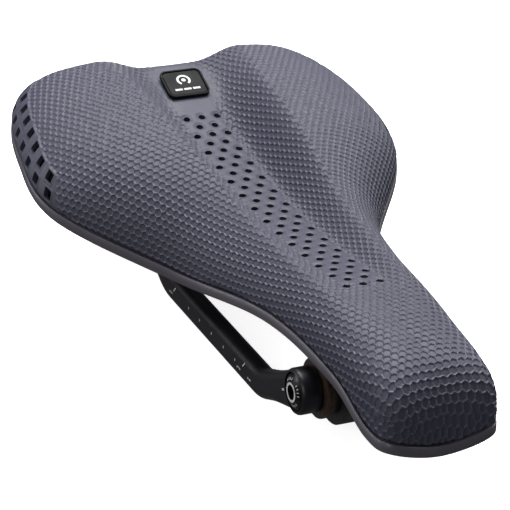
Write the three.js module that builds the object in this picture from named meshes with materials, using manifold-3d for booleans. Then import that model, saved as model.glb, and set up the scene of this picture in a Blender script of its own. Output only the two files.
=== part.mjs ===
// A short-nosed bicycle saddle: a moulded cover over a foam pad on a composite shell, carried by two
// oval rails. The rails end in eyes on a cross bolt under the nose, which is the pivot of the top, and
// their rear ends sit between elastomer pads in sockets under the tail.
// Millimetres, +X to the nose, +Y to the rider's left, +Z up. The origin is under the middle of the
// saddle, at the height of the rails' undersides.
import * as THREE from "three";
import { mergeVertices } from "three/addons/utils/BufferGeometryUtils.js";
import Module from "manifold-3d";

const wasm = await Module();
wasm.setup();

// ---------------------------------------------------------------- driving dimensions
const GAP = 0.3; // clearance between pieces that touch

// Lower edge of the cover on the rider's right, from the tail's centre to the nose's centre:
// x, y, z, the place on the centre line that the section through that point runs up to, and the two
// exponents of the section's superellipse.
const EDGE = [
  [-109.5, 0, 48.5, -99.5, 3.3, 1.7],
  [-112.5, -21, 48.5, -97, 3, 1.8],
  [-114, -41, 49.2, -92, 2.8, 3],
  [-109, -58, 48, -83, 2.95, 2.2],
  [-79, -66.5, 44.5, -63, 2.98, 1.77],
  [-48, -64.7, 36.8, -39, 2.77, 1.75],
  [-7.2, -38, 28.9, -5, 2.53, 1.79],
  [38.4, -25.1, 33.5, 33, 2.39, 1.88],
  [77.7, -21.1, 31.4, 67, 2.3, 3.4],
  [101, -19.9, 24.1, 87.5, 2.7, 4.6],
  [113, -17, 24, 93.5, 2.3, 2.8],
  [113.5, 0, 20.5, 98, 2, 2.8],
];
const SPINE = [-99.5, 101]; // where the centre line starts and ends
const CROWN = [66.3, 66.1, 62.7, 58.8, 55, 53.4, 51.8, 47.2, 43.6]; // height over the spine, channel not cut
const CHANNEL = [-109, 115]; // reach of the relief channel
const CHANNEL_DEPTH = [3.6, 14.6, 15.6, 11.7, 7.3, 0, 0];
const CHANNEL_HALF_WIDTH = [28.3, 24.2, 21.3, 19.4, 17.8, 16.2, 14.7];
const CHANNEL_FLOOR = 0.35; // share of the half width that is flat
const SHELL_CROWN = [53, 45.5, 40, 37, 36.5, 37.8, 39, 38, 35]; // height of the shell's top over the spine

const COVER_THICK = 1.8;
const FOAM_DEPTH = COVER_THICK + 2 * GAP; // the foam stays clear of the cover
const LINER = { top: 2.8, thick: 0.7 }; // thin backings between cover and foam
const STRIP = { spans: [3.15, 7.85], half: 8, count: 18 }; // behind the channel's perforations
const VENT = { spans: [2.75, 4.95], steps: [0.998, 0.985, 0.96, 0.92, 0.87], count: 10 }; // side windows
const SHELL_THICK = 2.6;
const SHELL_BAND = 3.5; // height of the shell's outer band
const SEAM = 0.9; // gap between the cover's edge and the band
const RINGS_PER_SPAN = 3;
const SECTION = [1, 0.99, 0.95, 0.86, 0.73, 0.57, 0.42, 0.31, 0.2, 0.1, 0]; // edge = 1, spine = 0
const COARSE = [1, 0.97, 0.88, 0.7, 0.35, 0];

const RAIL_GAUGE = 44; // between the rails' centres where the seatpost clamps them
const RAIL_WIDE = 7;
const RAIL_TALL = 9.6;
const RAIL_CORNER = 2.6;
const PIVOT = { x: 62.8, z: 16.6 }; // axis of the cross bolt
const FRONT_BEND = { x: 35, radius: 14 };
const REAR_BEND = { x: -47.3, radius: 16, angle: 50 };
const TAIL = { z: 28.5, end: -94, y: 28, radius: 12 }; // the rails' rear ends, level in their sockets
const EYE = { radius: 7.5, y0: 18.6, y1: 25.6 };
const HEAD = { radius: 5.9, top: 3.2, base: 24.6, tip: 26.4, recess: 6.4, hex: 4 };
const BOLT_RADIUS = 3.2;
const SPIGOT_RADIUS = 4.6;
const SLEEVE = { inner: 3.5, outer: 4.9, half: 18.2 };
const BUSH = { radius: 9.8, y0: 14.9, y1: 18.3 };
const SPACER = { radius: 8.6, y0: 13.2, y1: 14.6 };
const BRACKET = { half: 12.9, radius: 12.5, rear: 44.5, front: 83 };
const SOCKET = { x0: -103, x1: -75, half: 12.4, floor: 21.4, roof: 41, slot: 4.4, slotEnd: -95.5 };
const CAP = { top: SOCKET.floor - GAP, thick: 3 };
const SCREW = { radius: 1.5, hole: 1.8, head: 2.9, headTall: 2.4 };
const BADGE = { x: -91.3, z: 58.1, tilt: 21.2, long: 13, wide: 15, bezel: 1.1, corner: 2.6 };

const LOOK = {
  cover: [0x6a6b78, 0.62, 0],
  dark: [0x1c1c20, 0.55, 0],
  shell: [0x2b2b30, 0.45, 0],
  foam: [0x3c3c40, 0.9, 0],
  rail: [0x17171a, 0.5, 0.2],
  steel: [0x3a3a3f, 0.35, 0.9],
  elastomer: [0x6b4a35, 0.5, 0],
};

// ---------------------------------------------------------------- curves and the saddle's surface
const mix = (a, b, t) => a + (b - a) * t;
const cubic = (a, b, c, d, w) =>
  0.5 * (2 * b + (c - a) * w + (2 * a - 5 * b + 4 * c - d) * w * w + (3 * b - a - 3 * c + d) * w ** 3);

// Point of the cover's lower edge at span t, mirrored past the tail and the nose.
function edgeAt(t) {
  const last = EDGE.length - 1;
  const span = Math.min(Math.floor(t), last - 1);
  const row = (j) => {
    const inside = j >= 0 && j <= last;
    const [x, y, ...rest] = EDGE[inside ? j : j < 0 ? -j : 2 * last - j];
    return [x, inside ? y : -y, ...rest];
  };
  const rows = [-1, 0, 1, 2].map((k) => row(span + k));
  const [x, y, z, s, flat, round] = EDGE[0].map((_, c) => cubic(...rows.map((r) => r[c]), t - span));
  return { x, y, z, s: Math.min(Math.max(s, SPINE[0]), SPINE[1]), flat, round };
}

// Smooth value at x from evenly spaced stations between lo and hi.
function station(values, [lo, hi], x) {
  const last = values.length - 1;
  const u = Math.min(Math.max(((x - lo) / (hi - lo)) * last, 0), last - 1e-9);
  const k = Math.floor(u);
  const at = (j) => {
    if (j < 0) return 2 * values[0] - values[1];
    if (j > last) return 2 * values[last] - values[last - 1];
    return values[j];
  };
  return cubic(at(k - 1), at(k), at(k + 1), at(k + 2), u - k);
}

function channelCut(x, y) {
  const q = Math.abs(y) / station(CHANNEL_HALF_WIDTH, CHANNEL, x);
  const t = Math.min(Math.max((q - CHANNEL_FLOOR) / (1 - CHANNEL_FLOOR), 0), 1);
  return station(CHANNEL_DEPTH, CHANNEL, x) * (1 - t * t * (3 - 2 * t));
}

// A layer is a surface inside the cover's outer one: edge moved in by inset and up by lift, crown
// lowered by drop. A layer with its own crown has no channel.
const OUTER = { inset: 0, lift: 0, drop: 0 };
const layerInside = (depth) => ({ inset: depth, lift: 0, drop: depth });
const shellLayer = (inset, lift, drop) => ({ inset, lift, drop, crown: SHELL_CROWN });

function onLayer(layer, ring, u) {
  const edge = edgeAt(ring.t);
  const reach = Math.hypot(edge.x - edge.s, edge.y);
  const share = 1 - layer.inset / reach;
  const x = mix(edge.s, edge.x, u * share);
  const y = edge.y * u * share;
  const low = edge.z + layer.lift;
  const crown = station(layer.crown ?? CROWN, SPINE, edge.s) - layer.drop;
  const a = layer.crown ? 2.2 : edge.flat;
  const b = layer.crown ? 2 : edge.round;
  const rise = Math.max(1 - u ** a, 0) ** (1 / b);
  const cut = layer.crown ? 0 : channelCut(x, y) * rise;
  return [x, y * ring.side, mix(low, crown, rise) - cut];
}

// Point beside the cover's edge: d inwards, up by lift.
function besideEdge(ring, d, lift) {
  const edge = edgeAt(ring.t);
  const share = 1 - d / Math.hypot(edge.x - edge.s, edge.y);
  return [mix(edge.s, edge.x, share), edge.y * share * ring.side, edge.z + lift];
}

function makeRings(perSpan) {
  const count = (EDGE.length - 1) * perSpan;
  const right = Array.from({ length: count + 1 }, (_, k) => ({ t: k / perSpan, side: 1 }));
  const left = right.slice(1, -1).reverse();
  return [...right, ...left.map((ring) => ({ t: ring.t, side: -1 }))];
}
const RINGS = makeRings(RINGS_PER_SPAN);

// ---------------------------------------------------------------- geometry helpers
function signedVolume(positions, index) {
  const a = new THREE.Vector3();
  const b = new THREE.Vector3();
  const c = new THREE.Vector3();
  let sum = 0;
  for (let i = 0; i < index.length; i += 3) {
    a.fromArray(positions, 3 * index[i]);
    b.fromArray(positions, 3 * index[i + 1]);
    c.fromArray(positions, 3 * index[i + 2]);
    sum += a.dot(b.cross(c));
  }
  return sum;
}

// Closed geometry from loose triangles: merged corners, no empty faces, faces pointing out.
function closed(source) {
  const bare = new THREE.BufferGeometry();
  bare.setAttribute("position", source.getAttribute("position"));
  if (source.index) bare.setIndex(source.index);
  const merged = mergeVertices(bare, 1e-4);
  const kept = [];
  const index = merged.index.array;
  for (let i = 0; i < index.length; i += 3) {
    const [p, q, r] = [index[i], index[i + 1], index[i + 2]];
    if (p !== q && q !== r && r !== p) kept.push(p, q, r);
  }
  if (signedVolume(merged.attributes.position.array, kept) < 0) {
    for (let i = 0; i < kept.length; i += 3) [kept[i], kept[i + 1]] = [kept[i + 1], kept[i]];
  }
  merged.setIndex(kept);
  return merged;
}

// Skin over rows of points. Each row joins the next, and the last joins the first if wrap is set;
// loop closes the rows themselves.
function skin(rows, { wrap = true, loop = false } = {}) {
  const across = rows[0].length;
  const index = [];
  const rowCount = wrap ? rows.length : rows.length - 1;
  const stepCount = loop ? across : across - 1;
  const points = rows.flat();
  const apart = (p, q) => Math.hypot(...points[p].map((v, c) => v - points[q][c]));
  for (let r = 0; r < rowCount; r += 1) {
    const next = (r + 1) % rows.length;
    for (let j = 0; j < stepCount; j += 1) {
      const k = (j + 1) % across;
      const [a, b, c, d] = [r * across + j, r * across + k, next * across + k, next * across + j];
      if (apart(a, c) < apart(b, d)) index.push(a, b, c, a, c, d);
      else index.push(a, b, d, b, c, d);
    }
  }
  const geometry = new THREE.BufferGeometry();
  geometry.setAttribute("position", new THREE.Float32BufferAttribute(points.flat(), 3));
  geometry.setIndex(index);
  return geometry;
}

// Tube through closed sections, with flat ends.
function capped(sections) {
  const count = sections[0].length;
  const body = skin(sections, { wrap: false, loop: true });
  const index = [...body.index.array];
  const last = (sections.length - 1) * count;
  for (let j = 1; j < count - 1; j += 1) {
    index.push(0, j + 1, j, last, last + j, last + j + 1);
  }
  body.setIndex(index);
  return closed(body);
}

function toManifold(geometry) {
  const solid = closed(geometry);
  return new wasm.Manifold(
    new wasm.Mesh({
      numProp: 3,
      vertProperties: Float32Array.from(solid.attributes.position.array),
      triVerts: Uint32Array.from(solid.index.array),
    }),
  );
}

function fromManifold(manifold) {
  const mesh = manifold.getMesh();
  const geometry = new THREE.BufferGeometry();
  geometry.setAttribute("position", new THREE.Float32BufferAttribute([...mesh.vertProperties], 3));
  geometry.setIndex([...mesh.triVerts]);
  return geometry;
}

const cut = (geometry, ...tools) =>
  fromManifold(tools.reduce((body, tool) => body.subtract(toManifold(tool)), toManifold(geometry)));
const join = (geometry, ...others) =>
  fromManifold(others.reduce((body, other) => body.add(toManifold(other)), toManifold(geometry)));

function box(x0, x1, y0, y1, z0, z1) {
  const geometry = new THREE.BoxGeometry(x1 - x0, y1 - y0, z1 - z0);
  return geometry.translate((x0 + x1) / 2, (y0 + y1) / 2, (z0 + z1) / 2);
}

// Solid of revolution about a line along Y: profile of [radius, y].
function turnedAlongY(profile, x, z, segments = 24) {
  const points = profile.map(([radius, y]) => new THREE.Vector2(radius, y));
  return new THREE.LatheGeometry(points, segments).translate(x, 0, z);
}

function ringAlongY(inner, outer, y0, y1, segments = 24) {
  const profile = [[inner, y0], [outer, y0], [outer, y1], [inner, y1], [inner, y0]];
  return turnedAlongY(profile, PIVOT.x, PIVOT.z, segments);
}

function rodAlongZ(radius, x, y, z0, z1, segments = 12) {
  const profile = [[0, z0], [radius, z0], [radius, z1], [0, z1]].map(([r, z]) => new THREE.Vector2(r, z));
  return new THREE.LatheGeometry(profile, segments).rotateX(Math.PI / 2).translate(x, y, 0);
}

// Outline in the X-Z plane pushed along Y.
function extrudedAlongY(shape, y0, y1, curveSegments = 16) {
  const geometry = new THREE.ExtrudeGeometry(shape, { depth: y1 - y0, bevelEnabled: false, curveSegments });
  return geometry.rotateX(Math.PI / 2).translate(0, y1, 0);
}

const upright = (depth) => ({ depth, bevelEnabled: false, curveSegments: 3 });

function roundedRect(width, height, corner) {
  const [w, h] = [width / 2, height / 2];
  const shape = new THREE.Shape();
  shape.absarc(w - corner, h - corner, corner, 0, Math.PI / 2);
  shape.absarc(corner - w, h - corner, corner, Math.PI / 2, Math.PI);
  shape.absarc(corner - w, corner - h, corner, Math.PI, 1.5 * Math.PI);
  shape.absarc(w - corner, corner - h, corner, 1.5 * Math.PI, 2 * Math.PI);
  return shape;
}

// Upright block with a rounded-rectangle plan.
function plate(x0, x1, y0, y1, z0, z1, corner) {
  const shape = roundedRect(x1 - x0, y1 - y0, corner);
  const geometry = new THREE.ExtrudeGeometry(shape, upright(z1 - z0));
  return geometry.translate((x0 + x1) / 2, (y0 + y1) / 2, z0);
}

// ---------------------------------------------------------------- the padded top
const along = (layer, ring, section) => section.map((u) => onLayer(layer, ring, u));

function coverBody() {
  const rows = RINGS.map((ring) => [
    ...along(OUTER, ring, SECTION).reverse(),
    ...along(layerInside(COVER_THICK), ring, SECTION),
  ]);
  return cut(closed(skin(rows)), badgeBlock(BADGE.long + 2 * GAP, BADGE.wide + 2 * GAP, -0.8, 4));
}

const FOAM_FLOOR = shellLayer(4, 0.2, -1.1);

function foamBody() {
  const rows = RINGS.map((ring) => [
    ...along({ inset: FOAM_DEPTH, lift: 0.2, drop: FOAM_DEPTH + GAP }, ring, SECTION).reverse(),
    ...along(FOAM_FLOOR, ring, COARSE),
  ]);
  return cut(closed(skin(rows)), channelPatch(true), ventPatch(1, true), ventPatch(-1, true));
}

// Depths below the skin of a liner, or of the larger pocket that the foam has for it.
function linerDepths(pocket) {
  if (pocket) return [COVER_THICK - 0.1, LINER.top + LINER.thick + 2 * GAP];
  return [LINER.top, LINER.top + LINER.thick];
}

const spread = (from, to, count) => Array.from({ length: count + 1 }, (_, k) => mix(from, to, k / count));

// Backing of the perforated strip along the channel's floor.
function channelPatch(pocket) {
  const grow = pocket ? 0.1 : 0;
  const half = STRIP.half + 10 * grow;
  const sections = spread(STRIP.spans[0] - grow, STRIP.spans[1] + grow, STRIP.count).map((t) => {
    const edge = edgeAt(t);
    const across = (depth, places) =>
      places.map((y) => {
        const share = 1 - depth / Math.hypot(edge.x - edge.s, edge.y);
        const u = Math.abs(y) / (-edge.y * share);
        return onLayer(layerInside(depth), { t, side: y < 0 ? 1 : -1 }, u);
      });
    const places = spread(-half, half, 4);
    const [shallow, deep] = linerDepths(pocket);
    return [...across(shallow, places), ...across(deep, places.reverse())];
  });
  return capped(sections);
}

// Backing of the side windows round the tail's corner.
function ventPatch(side, pocket) {
  const grow = pocket ? 0.03 : 0;
  const steps = VENT.steps.map((u, k) => {
    if (!pocket) return u;
    if (k === 0) return 1;
    return k === VENT.steps.length - 1 ? u - 0.01 : u;
  });
  const [shallow, deep] = linerDepths(pocket).map(layerInside);
  const sections = spread(VENT.spans[0] - grow, VENT.spans[1] + grow, VENT.count).map((t) => {
    const ring = { t, side };
    return [...along(shallow, ring, steps), ...along(deep, ring, steps).reverse()];
  });
  return capped(sections);
}

// Ring that clamps the cover's edge, seen as the dark line of the seam.
function coverRetainer() {
  const rows = RINGS.map((ring) => [
    besideEdge(ring, 0.8, -GAP),
    besideEdge(ring, 3.4, -GAP),
    besideEdge(ring, 3.4, GAP - SEAM),
    besideEdge(ring, 0.8, GAP - SEAM),
  ]);
  return closed(skin(rows, { loop: true }));
}

function shellRows() {
  const bandLow = -SEAM - SHELL_BAND;
  return RINGS.map((ring) => [
    ...along(shellLayer(4, -SEAM, 0), ring, COARSE).reverse(),
    besideEdge(ring, 0.1, -SEAM),
    besideEdge(ring, -0.2, -SEAM - 0.4),
    besideEdge(ring, -0.2, bandLow + 0.5),
    besideEdge(ring, 0.3, bandLow),
    besideEdge(ring, 2.8, bandLow),
    ...along(shellLayer(4 + 1.6, -SEAM - SHELL_THICK, SHELL_THICK), ring, COARSE),
  ]);
}

const screwHoles = () => [
  ...socketScrewPlaces(1),
  ...socketScrewPlaces(-1),
  ...bracketScrewPlaces(),
].map(([x, y]) => rodAlongZ(SCREW.hole, x, y, 20, 70));

const shellBody = () => cut(closed(skin(shellRows())), ...screwHoles());

// Everything above the shell's underside, grown down by the clearance.
function aboveShellUnderside() {
  const rows = RINGS.map((ring) => [
    ...along(shellLayer(1, 40, -40), ring, COARSE).reverse(),
    besideEdge(ring, 2.5, -SEAM - SHELL_BAND - GAP),
    ...along(shellLayer(4 + 1.6 + GAP, -SEAM - SHELL_THICK - GAP, SHELL_THICK + GAP), ring, COARSE),
  ]);
  return closed(skin(rows));
}

// ---------------------------------------------------------------- the badge
// Block standing on the channel floor at the badge, square to it, from z0 to z1 above the skin.
function badgeBlock(long, wide, z0, z1, corner = BADGE.corner) {
  const shape = roundedRect(long, wide, corner);
  const geometry = new THREE.ExtrudeGeometry(shape, upright(z1 - z0));
  geometry.translate(0, 0, z0);
  geometry.rotateY(THREE.MathUtils.degToRad(BADGE.tilt));
  return geometry.translate(BADGE.x, 0, BADGE.z);
}

function badgeBezel() {
  const { long, wide, bezel, corner } = BADGE;
  const inside = corner - bezel;
  const outer = badgeBlock(long, wide, -0.5, 1);
  return cut(outer, badgeBlock(long - 2 * bezel, wide - 2 * bezel, -1, 2, inside));
}

function badgePlate() {
  const { long, wide, bezel, corner } = BADGE;
  const edge = 2 * (bezel + GAP);
  return closed(badgeBlock(long - edge, wide - edge, -0.5, 0.7, corner - bezel - GAP));
}

// ---------------------------------------------------------------- rails
const SLOPE = { front: Math.atan2(PIVOT.z - RAIL_TALL / 2, PIVOT.x - FRONT_BEND.x) };
SLOPE.rear = THREE.MathUtils.degToRad(REAR_BEND.angle);

// Centre line of a rail from its level rear end to the eye: x, z, direction and the section's height.
function railStations() {
  const clampZ = RAIL_TALL / 2;
  const topX = REAR_BEND.x - (TAIL.z - clampZ) / Math.tan(SLOPE.rear);
  const stations = [{ x: TAIL.end, z: TAIL.z, turn: 0, tall: RAIL_TALL }];
  const bend = (x, z, radius, from, to, steps) => {
    const tangent = radius * Math.tan(Math.abs(to - from) / 2);
    const sign = Math.sign(to - from);
    const startX = x - tangent * Math.cos(from);
    const startZ = z - tangent * Math.sin(from);
    for (let k = 0; k <= steps; k += 1) {
      const turn = mix(from, to, k / steps);
      stations.push({
        x: startX + radius * sign * (Math.sin(turn) - Math.sin(from)),
        z: startZ + radius * sign * (Math.cos(from) - Math.cos(turn)),
        turn,
        tall: RAIL_TALL,
      });
    }
  };
  bend(topX, TAIL.z, TAIL.radius, 0, -SLOPE.rear, 5);
  const middle = stations.at(-1);
  const slant = { x: (topX + REAR_BEND.x) / 2, z: (TAIL.z + clampZ) / 2 };
  stations.push({ ...middle, x: slant.x, z: slant.z });
  bend(REAR_BEND.x, clampZ, REAR_BEND.radius, -SLOPE.rear, 0, 6);
  bend(FRONT_BEND.x, clampZ, FRONT_BEND.radius, 0, SLOPE.front, 4);
  const end = stations.at(-1);
  for (const [share, tall] of [[0.5, 10.6], [0.75, 11.8], [1, 13]]) {
    stations.push({ x: mix(end.x, PIVOT.x, share), z: mix(end.z, PIVOT.z, share), turn: SLOPE.front, tall });
  }
  return stations;
}

// The rails are a clamp gauge apart, and spread towards their rear ends.
function railSideAt(x) {
  const t = Math.min(Math.max((REAR_BEND.x - x) / 30, 0), 1);
  return mix(RAIL_GAUGE / 2, TAIL.y, t * t * (3 - 2 * t));
}

function railBody(side, bore) {
  const sections = railStations().map(({ x, z, turn, tall }) => {
    const outline = roundedRect(RAIL_WIDE, tall, RAIL_CORNER).getPoints(2).slice(0, -1);
    const y = side * railSideAt(x);
    return outline.map((p) => [x - p.y * Math.sin(turn), y + p.x, z + p.y * Math.cos(turn)]);
  });
  const eye = turnedAlongY(
    [[0, EYE.y0], [EYE.radius - 0.6, EYE.y0], [EYE.radius, EYE.y0 + 0.6], [EYE.radius, EYE.y1 - 1.2],
      [EYE.radius - 0.4, EYE.y1 - 0.35], [EYE.radius - 1.1, EYE.y1], [0, EYE.y1]],
    PIVOT.x,
    PIVOT.z,
  );
  const hole = turnedAlongY([[0, 10], [bore, 10], [bore, 30], [0, 30]], PIVOT.x, PIVOT.z);
  const recess = turnedAlongY(
    [[0, HEAD.base - GAP], [HEAD.recess, HEAD.base - GAP], [HEAD.recess, 30], [0, 30]],
    PIVOT.x,
    PIVOT.z,
  );
  const trim = box(PIVOT.x, PIVOT.x + 20, 10, 30, -5, 40);
  const flip = (geometry) => (side < 0 ? geometry.scale(1, -1, 1) : geometry);
  const bar = cut(capped(sections), flip(trim));
  return cut(join(bar, flip(eye)), flip(hole), flip(recess));
}

// ---------------------------------------------------------------- the cross bolt and what turns on it
const HEX_SOCKET = () =>
  new THREE.CylinderGeometry(HEAD.hex / Math.sqrt(3), HEAD.hex / Math.sqrt(3), 4, 6);

function headProfile(rest) {
  const { radius, top, base, tip } = HEAD;
  return [...rest, [radius, base], [radius, base + 0.5], [radius - 0.5, base + 0.9], [top, tip], [0, tip]];
}

function pivotBolt() {
  const shaft = [[0, -24.3], [BOLT_RADIUS - 0.4, -24.3], [BOLT_RADIUS, -23.9], [BOLT_RADIUS, HEAD.base]];
  const bolt = turnedAlongY(headProfile(shaft), PIVOT.x, PIVOT.z).scale(1, -1, 1);
  return cut(bolt, HEX_SOCKET().translate(PIVOT.x, -HEAD.tip, PIVOT.z));
}

function pivotNut() {
  const spigot = [[0, 24.65], [BOLT_RADIUS + GAP, 24.65], [BOLT_RADIUS + GAP, 19], [SPIGOT_RADIUS, 19],
    [SPIGOT_RADIUS, HEAD.base]];
  const nut = turnedAlongY(headProfile(spigot), PIVOT.x, PIVOT.z);
  return cut(nut, HEX_SOCKET().translate(PIVOT.x, HEAD.tip + 0.8, PIVOT.z));
}

const pivotSleeve = () => closed(ringAlongY(SLEEVE.inner, SLEEVE.outer, -SLEEVE.half, SLEEVE.half));

function bush(side) {
  const { radius, y0, y1 } = BUSH;
  const bore = SLEEVE.outer + GAP;
  const profile = [[bore, y0], [radius - 0.5, y0], [radius, y0 + 0.5], [radius, y1 - 0.5], [radius - 0.5, y1],
    [bore, y1], [bore, y0]];
  return closed(turnedAlongY(profile, PIVOT.x, PIVOT.z).scale(1, side, 1));
}

const spacer = (side) =>
  closed(ringAlongY(SLEEVE.outer + GAP, SPACER.radius, SPACER.y0, SPACER.y1).scale(1, side, 1));

const bracketScrewPlaces = () => [[50, 8.6], [50, -8.6], [78, 8], [78, -8]];
const bracketSeat = (x) => (x < PIVOT.x ? 27.5 : 24); // height of the screws' seats

// Block from the shell's underside down round the cross bolt.
function noseBracket() {
  const { half, radius, rear, front } = BRACKET;
  const shape = new THREE.Shape();
  shape.moveTo(front, 60);
  shape.lineTo(rear, 60);
  shape.lineTo(rear, 24);
  shape.lineTo(PIVOT.x - radius, 19);
  shape.absarc(PIVOT.x, PIVOT.z, radius, Math.PI, 1.8 * Math.PI);
  shape.lineTo(front, 19);
  const block = extrudedAlongY(shape, -half, half);
  const bore = turnedAlongY(
    [[0, -20], [SLEEVE.outer + GAP, -20], [SLEEVE.outer + GAP, 20], [0, 20]],
    PIVOT.x,
    PIVOT.z,
  );
  const screws = bracketScrewPlaces().flatMap(([x, y]) => [
    rodAlongZ(SCREW.hole, x, y, 0, 60),
    rodAlongZ(SCREW.head + GAP, x, y, 0, bracketSeat(x)),
  ]);
  return cut(block, aboveShellUnderside(), bore, ...screws);
}

function screw(x, y, seat) {
  const { radius, head, headTall } = SCREW;
  const tip = screwTip(x, y);
  const profile = [[0, seat - headTall], [head, seat - headTall], [head, seat - GAP], [radius, seat - GAP],
    [radius, tip], [0, tip]].map(([r, z]) => new THREE.Vector2(r, z));
  const body = new THREE.LatheGeometry(profile, 10).rotateX(Math.PI / 2).translate(x, y, 0);
  const socket = new THREE.CylinderGeometry(1.3, 1.3, 2, 6).rotateX(Math.PI / 2);
  return cut(body, socket.translate(x, y, seat - headTall - 0.2));
}

// Height of the shell's top surface, less the clearance that a screw's tip keeps.
function screwTip(x, y) {
  let best = { miss: Infinity, z: 0 };
  for (const ring of RINGS) {
    for (let u = 0.05; u < 1; u += 0.05) {
      const [px, py, pz] = onLayer(shellLayer(4, -SEAM, 0), ring, u);
      const miss = Math.hypot(px - x, py - y);
      if (miss < best.miss) best = { miss, z: pz };
    }
  }
  return best.z - 1.2;
}

// ---------------------------------------------------------------- rear sockets
const socketScrewPlaces = (side) => [
  [SOCKET.x0 + 3.6, side * TAIL.y],
  [-83, side * (TAIL.y + 8.4)],
  [-83, side * (TAIL.y - 8.4)],
];

function rearSocket(side) {
  const { x0, x1, half, floor, roof, slot, slotEnd } = SOCKET;
  const y = side * TAIL.y;
  const block = plate(x0, x1, y - half, y + half, floor, 70, 3);
  const cavity = box(slotEnd, x1 + 5, y - slot, y + slot, floor - 5, roof);
  const screws = socketScrewPlaces(side).map(([sx, sy]) => rodAlongZ(SCREW.hole, sx, sy, 0, 80));
  return cut(block, aboveShellUnderside(), cavity, ...screws);
}

function socketCap(side) {
  const y = side * TAIL.y;
  const { x0, x1, half } = SOCKET;
  const body = plate(x0, x1, y - half, y + half, CAP.top - CAP.thick, CAP.top, 3);
  const screws = socketScrewPlaces(side).map(([sx, sy]) => rodAlongZ(SCREW.hole, sx, sy, 0, 80));
  return cut(body, ...screws);
}

function socketPad(side, z0, z1) {
  const y = side * TAIL.y;
  const half = SOCKET.slot - 0.5;
  return closed(plate(SOCKET.slotEnd + 0.5, -83, y - half, y + half, z0, z1, 1.5));
}

const rearDamper = (side) => socketPad(side, TAIL.z + RAIL_TALL / 2 + GAP, SOCKET.roof - GAP);
const reboundPad = (side) => socketPad(side, CAP.top + 0.1, TAIL.z - RAIL_TALL / 2 - GAP);

// ---------------------------------------------------------------- the assembly
const saddle = new THREE.Group();

function add(name, geometry, [color, roughness, metalness]) {
  const material = new THREE.MeshStandardMaterial({ color, roughness, metalness });
  const mesh = new THREE.Mesh(geometry, material);
  mesh.name = name;
  saddle.add(mesh);
}

add("cover", coverBody(), LOOK.cover);
add("badge_bezel", badgeBezel(), LOOK.dark);
add("badge_plate", badgePlate(), LOOK.shell);
add("channel_liner", channelPatch(false), LOOK.dark);
add("foam_pad", foamBody(), LOOK.foam);
add("cover_retainer", coverRetainer(), LOOK.dark);
add("shell", shellBody(), LOOK.shell);
add("nose_bracket", noseBracket(), LOOK.dark);
add("pivot_bolt", pivotBolt(), LOOK.steel);
add("pivot_nut", pivotNut(), LOOK.steel);
add("pivot_sleeve", pivotSleeve(), LOOK.steel);

for (const [name, side] of [["left", 1], ["right", -1]]) {
  add(`vent_liner_${name}`, ventPatch(-side, false), LOOK.dark);
  add(`rail_${name}`, railBody(side, side > 0 ? SPIGOT_RADIUS + GAP : BOLT_RADIUS + GAP), LOOK.rail);
  add(`bush_${name}`, bush(side), LOOK.elastomer);
  add(`spacer_${name}`, spacer(side), LOOK.dark);
  add(`rear_socket_${name}`, rearSocket(side), LOOK.shell);
  add(`socket_cap_${name}`, socketCap(side), LOOK.shell);
  socketScrewPlaces(side).forEach(([x, y], k) => {
    add(`socket_screw_${name}_${k + 1}`, screw(x, y, CAP.top - CAP.thick), LOOK.steel);
  });
  add(`rear_damper_${name}`, rearDamper(side), LOOK.elastomer);
  add(`rebound_pad_${name}`, reboundPad(side), LOOK.elastomer);
}

bracketScrewPlaces().forEach(([x, y], k) => {
  add(`bracket_screw_${k + 1}`, screw(x, y, bracketSeat(x)), LOOK.steel);
});

export default saddle;
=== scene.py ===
"""Looks of a short-nosed bicycle saddle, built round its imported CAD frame.

Lengths are in millimetres until raw_mesh() turns them into metres. +X is the nose, +Y the rider's
left and +Z up. The saddle's surface is worked out from the same few driving dimensions as the CAD.
"""
import math

import bmesh
import bpy
import numpy as np
from mathutils import Matrix, Vector

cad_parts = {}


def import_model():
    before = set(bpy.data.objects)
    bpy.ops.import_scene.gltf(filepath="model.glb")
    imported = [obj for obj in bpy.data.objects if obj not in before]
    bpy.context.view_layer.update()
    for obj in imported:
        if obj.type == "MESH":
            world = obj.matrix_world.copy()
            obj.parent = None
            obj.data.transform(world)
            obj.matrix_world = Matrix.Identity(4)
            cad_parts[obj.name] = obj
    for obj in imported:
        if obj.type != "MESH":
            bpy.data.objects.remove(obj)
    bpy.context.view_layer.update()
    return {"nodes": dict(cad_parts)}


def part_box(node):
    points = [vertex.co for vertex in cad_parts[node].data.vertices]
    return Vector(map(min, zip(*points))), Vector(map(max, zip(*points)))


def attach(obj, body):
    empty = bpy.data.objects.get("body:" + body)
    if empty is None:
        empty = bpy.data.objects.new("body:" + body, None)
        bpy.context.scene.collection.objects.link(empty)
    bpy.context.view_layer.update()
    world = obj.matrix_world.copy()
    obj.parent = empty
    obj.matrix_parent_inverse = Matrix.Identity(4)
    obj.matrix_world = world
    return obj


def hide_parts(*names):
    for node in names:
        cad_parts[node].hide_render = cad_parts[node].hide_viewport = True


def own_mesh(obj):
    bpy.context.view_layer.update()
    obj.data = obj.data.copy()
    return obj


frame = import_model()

MM = 0.001

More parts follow.
